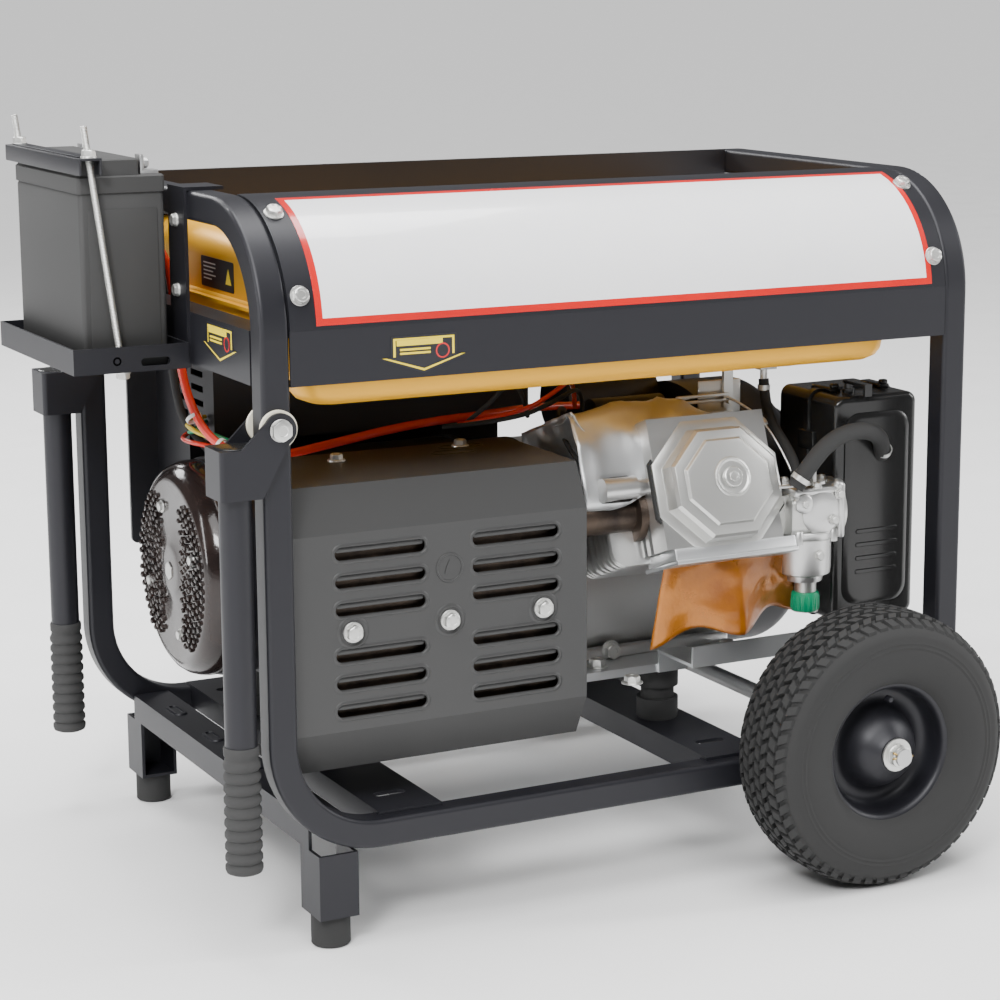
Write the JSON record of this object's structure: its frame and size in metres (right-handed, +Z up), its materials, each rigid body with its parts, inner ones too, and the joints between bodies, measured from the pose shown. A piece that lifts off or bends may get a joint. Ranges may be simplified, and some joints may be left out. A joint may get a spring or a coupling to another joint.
{
  "type": "engine driven welder",
  "caption": "Open-frame petrol welding generator: bent square-tube frame, louvred muffler guard, orange tank, battery tray, fold-down handles and transport wheels.",
  "frame": {"origin": "centre of the outer box in plan, on the ground", "axes": "+X along the machine from the battery end to the engine end, +Y to the control panel side, +Z up"},
  "size_m": [0.805, 0.728, 0.6941],
  "materials": {
    "frame_black": "gloss black enamel",
    "guard_charcoal": "satin heat-proof charcoal",
    "tank_orange": "gloss yellow-orange enamel",
    "zinc_steel": "bright zinc plate",
    "galvanised": "galvanised sheet",
    "cast_aluminium": "as-cast, bead blasted",
    "machined_steel": "turned steel",
    "black_rubber": "moulded rubber",
    "tyre_rubber": "treaded rubber",
    "grip_rubber": "ribbed soft rubber",
    "gloss_black_plastic": "gloss moulding",
    "battery_case": "moulded polypropylene",
    "cream_nylon": "natural nylon",
    "cable_red": "flexible PVC",
    "panel_black": "satin black",
    "red_plastic": "moulded knob"
  },
  "bodies": {
    "chassis": {"battery_end_hoop": "frame_black", "engine_end_hoop": "frame_black", "lower_rail_left": "frame_black", "lower_rail_right": "frame_black", "crossmembers": "frame_black", "leg_brackets": "frame_black", "rubber_feet": "black_rubber", "side_rails": "frame_black", "end_rails": "frame_black", "top_panels": "frame_black", "frame_bolts": "zinc_steel", "axle": "machined_steel", "axle_nuts": "zinc_steel", "handle_pivots": "zinc_steel", "handle_bushes": "cream_nylon", "fuel_tank": "tank_orange", "fuel_petcock": "zinc_steel", "hoses": "black_rubber", "crankcase": "cast_aluminium", "cylinder_head": "cast_aluminium", "valve_cover": "zinc_steel", "crank_bearings": "machined_steel", "alternator_housing": "frame_black", "end_cover": "gloss_black_plastic", "blower_housing": "frame_black", "recoil_starter": "frame_black", "engine_base": "galvanised", "rubber_mounts": "black_rubber", "starter_motor": "panel_black", "muffler": "machined_steel", "muffler_guard": "guard_charcoal", "heat_shields": "galvanised", "carburettor": "zinc_steel", "air_cleaner": "gloss_black_plastic", "battery_tray": "frame_black", "battery": "battery_case", "battery_hold_down": "zinc_steel", "battery_cables": "cable_red", "control_box": "panel_black", "control_panel": "panel_black"},
    "wheel_left": {"tyre_left": "tyre_rubber", "rim_left": "frame_black"},
    "wheel_right": {"tyre_right": "tyre_rubber", "rim_right": "frame_black"},
    "fold_handle_left": {"handle_left": "frame_black", "grip_left": "grip_rubber"},
    "fold_handle_right": {"handle_right": "frame_black", "grip_right": "grip_rubber"},
    "crank": {"crankshaft": "machined_steel", "flywheel": "cast_aluminium", "rotor": "machined_steel"},
    "piston": {"piston": "cast_aluminium"},
    "fuel_cap": {"fuel_cap": "gloss_black_plastic"},
    "petcock_lever": {"petcock_lever": "zinc_steel"},
    "recoil_grip": {"recoil_grip": "gloss_black_plastic"},
    "choke_lever": {"choke_lever": "gloss_black_plastic"},
    "throttle_lever": {"throttle_lever": "zinc_steel"},
    "current_knob": {"current_knob": "gloss_black_plastic"},
    "key_switch": {"key_switch": "zinc_steel"},
    "engine_switch": {"engine_switch": "red_plastic"}
  },
  "joints": [
    {"name": "wheel_left_spin", "type": "hinge", "parent": "chassis", "child": "wheel_left", "pos_m": [0.2625, -0.312, 0.1275], "axis": [0, 1, 0], "continuous": true},
    {"name": "wheel_right_spin", "type": "hinge", "parent": "chassis", "child": "wheel_right", "pos_m": [0.2625, 0.312, 0.1275], "axis": [0, 1, 0], "continuous": true},
    {"name": "handle_left_fold", "type": "hinge", "parent": "chassis", "child": "fold_handle_left", "pos_m": [-0.285, -0.2375, 0.455], "axis": [0, 1, 0], "range_deg": [0, 90]},
    {"name": "handle_right_fold", "type": "hinge", "parent": "chassis", "child": "fold_handle_right", "pos_m": [-0.285, 0.2375, 0.455], "axis": [0, 1, 0], "range_deg": [0, 90]},
    {"name": "crank_spin", "type": "hinge", "parent": "chassis", "child": "crank", "pos_m": [0.1625, 0.035, 0.279], "axis": [1, 0, 0], "continuous": true},
    {"name": "piston_stroke", "type": "slide", "parent": "chassis", "child": "piston", "axis": [0, -0.9397, 0.342], "range_m": [-0.064, 0]},
    {"name": "fuel_cap_turn", "type": "hinge", "parent": "chassis", "child": "fuel_cap", "pos_m": [0.0525, 0, 0.6], "axis": [0, 0, 1], "range_deg": [0, 90]},
    {"name": "petcock_turn", "type": "hinge", "parent": "chassis", "child": "petcock_lever", "pos_m": [0.2625, -0.132, 0.455], "axis": [0, 1, 0], "range_deg": [0, 90]},
    {"name": "recoil_pull", "type": "slide", "parent": "chassis", "child": "recoil_grip", "axis": [1, 0, 0], "range_m": [0, 0.5], "stiffness_N_per_m": 5},
    {"name": "choke_turn", "type": "hinge", "parent": "chassis", "child": "choke_lever", "pos_m": [0.3225, -0.176, 0.435], "axis": [0, 0, 1], "range_deg": [0, 60]},
    {"name": "throttle_swing", "type": "hinge", "parent": "chassis", "child": "throttle_lever", "pos_m": [0.2225, -0.12, 0.42], "axis": [0, 1, 0], "range_deg": [-25, 25]},
    {"name": "current_turn", "type": "hinge", "parent": "chassis", "child": "current_knob", "pos_m": [-0.1475, 0.245, 0.415], "axis": [0, 1, 0], "range_deg": [0, 270]},
    {"name": "key_turn", "type": "hinge", "parent": "chassis", "child": "key_switch", "pos_m": [0.0825, 0.245, 0.43], "axis": [0, 1, 0], "range_deg": [0, 90]},
    {"name": "engine_switch_turn", "type": "hinge", "parent": "chassis", "child": "engine_switch", "pos_m": [0.0825, 0.245, 0.37], "axis": [0, 1, 0], "range_deg": [0, 60]}
  ]
}
